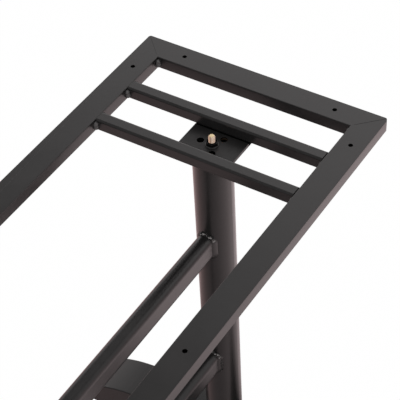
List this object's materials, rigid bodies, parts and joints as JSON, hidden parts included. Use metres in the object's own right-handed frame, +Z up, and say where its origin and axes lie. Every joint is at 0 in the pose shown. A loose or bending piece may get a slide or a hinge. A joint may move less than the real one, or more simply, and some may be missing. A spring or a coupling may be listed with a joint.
{
  "type": "table base",
  "caption": "Black steel table base: rectangular drilled top frame with cross bars and plates, round columns joined by stretchers, standing on arched feet with glides.",
  "frame": {"origin": "on the floor, under the middle of the top frame", "axes": "+X across the base along the feet, +Y along the long rails towards the rear end, which the picture shows, +Z up"},
  "size_m": [0.56, 1.02, 0.72],
  "materials": {
    "black_coat": "satin black powder coat",
    "foot_coat": "satin black powder coat on a casting",
    "yellow_zinc": "yellow zinc plating",
    "black_fastener": "black oxide",
    "glide_plastic": "matt moulded",
    "bright_zinc": "bright zinc plating"
  },
  "bodies": {
    "root": {"frame_welds": "black_coat", "front_bottom_nut": "black_fastener", "front_bottom_washer": "black_fastener", "front_column": "black_coat", "front_foot": "foot_coat", "front_inner_bar": "black_coat", "front_left_glide": "glide_plastic", "front_outer_bar": "black_coat", "front_plate": "black_coat", "front_rail": "black_coat", "front_right_glide": "glide_plastic", "front_tie_rod": "yellow_zinc", "front_top_nut": "black_fastener", "front_top_washer": "black_fastener", "glide_screws": "bright_zinc", "left_rail": "black_coat", "lower_front_weld": "black_coat", "lower_rear_weld": "black_coat", "lower_stretcher": "black_coat", "rear_bottom_nut": "black_fastener", "rear_bottom_washer": "black_fastener", "rear_column": "black_coat", "rear_foot": "foot_coat", "rear_inner_bar": "black_coat", "rear_left_glide": "glide_plastic", "rear_outer_bar": "black_coat", "rear_plate": "black_coat", "rear_rail": "black_coat", "rear_right_glide": "glide_plastic", "rear_tie_rod": "yellow_zinc", "rear_top_nut": "black_fastener", "rear_top_washer": "black_fastener", "right_rail": "black_coat", "upper_front_weld": "black_coat", "upper_rear_weld": "black_coat", "upper_stretcher": "black_coat"}
  },
  "joints": []
}
